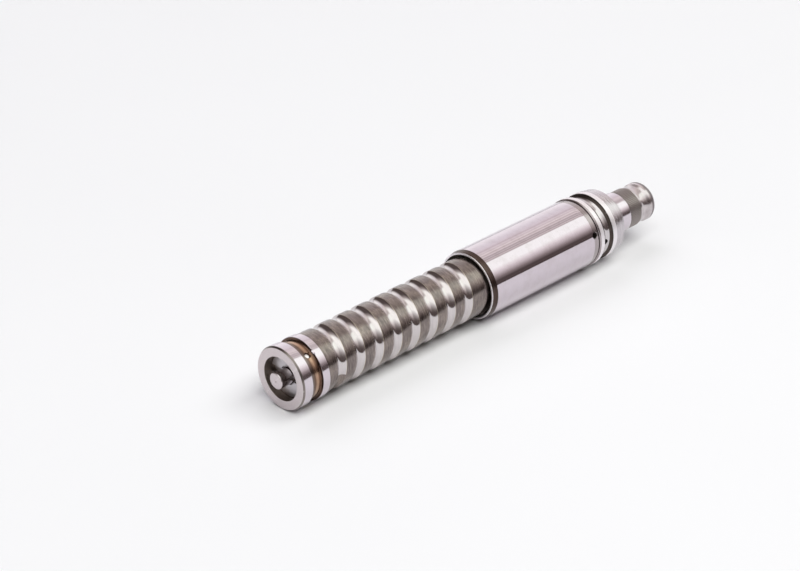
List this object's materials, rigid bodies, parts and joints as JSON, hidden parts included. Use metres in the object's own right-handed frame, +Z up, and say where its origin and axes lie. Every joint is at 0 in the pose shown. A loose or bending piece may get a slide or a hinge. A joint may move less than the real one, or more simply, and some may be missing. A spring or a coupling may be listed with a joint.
{
  "type": "ball screw assembly",
  "caption": "Hollow left-hand ball screw with a pinned valve housing, thrust bearing race, torsion bar and serrated input shaft that twists a few degrees against stops.",
  "frame": {"origin": "point of the axis at the middle of the valve housing", "axes": "+X along the axis from the screw's open end to the input shaft, +Z up, +Y completes the right-handed frame; the nose pin lies on the -Y, +Z side"},
  "size_m": [0.2765, 0.0392, 0.0392],
  "materials": {
    "screw_steel": "hardened steel, dull crests, rolled and polished ball groove, ground lands",
    "ground_steel": "ground bright steel",
    "machined_steel": "turned steel",
    "spring_steel": "ground spring steel",
    "shaft_steel": "polished journal, dull serration",
    "bearing_bronze": "sintered bearing bronze",
    "seal_rubber": "nitrile rubber",
    "filled_ptfe": "carbon-filled plastic"
  },
  "bodies": {
    "screw": {"ball_screw": "screw_steel", "anchor_bush": "machined_steel", "anchor_pin": "machined_steel", "bush_o_ring": "seal_rubber", "torsion_bar": "spring_steel", "bar_o_ring": "seal_rubber", "valve_housing": "ground_steel", "housing_pin": "machined_steel", "housing_o_ring": "seal_rubber", "pilot_bush": "bearing_bronze", "thrust_washer": "bearing_bronze", "control_bushing": "machined_steel", "bushing_pin": "machined_steel", "bushing_seal_rings": "filled_ptfe", "needle_cup": "ground_steel", "snap_ring": "spring_steel", "bearing_race": "ground_steel", "race_o_ring": "seal_rubber", "retaining_nut": "machined_steel", "input_seal": "seal_rubber", "wiper_ring": "filled_ptfe"},
    "input": {"input_shaft": "shaft_steel", "input_pin": "machined_steel", "input_o_ring": "seal_rubber"},
    "needles": {"needle_cage": "bearing_bronze", "needle_rollers": "ground_steel"}
  },
  "joints": [
    {"name": "input_twist", "type": "hinge", "parent": "screw", "child": "input", "pos_m": [0, 0, 0], "axis": [1, 0, 0], "range_deg": [-6, 6], "stiffness_Nm_per_rad": 57, "deforming": ["torsion_bar"]},
    {"name": "needle_roll", "type": "hinge", "parent": "screw", "child": "needles", "pos_m": [0, 0, 0], "axis": [1, 0, 0], "range_deg": [-3.5, 3.5]}
  ],
  "couplings": [
    {"joint": "needle_roll", "follows": "input_twist", "ratio": 0.4627}
  ]
}
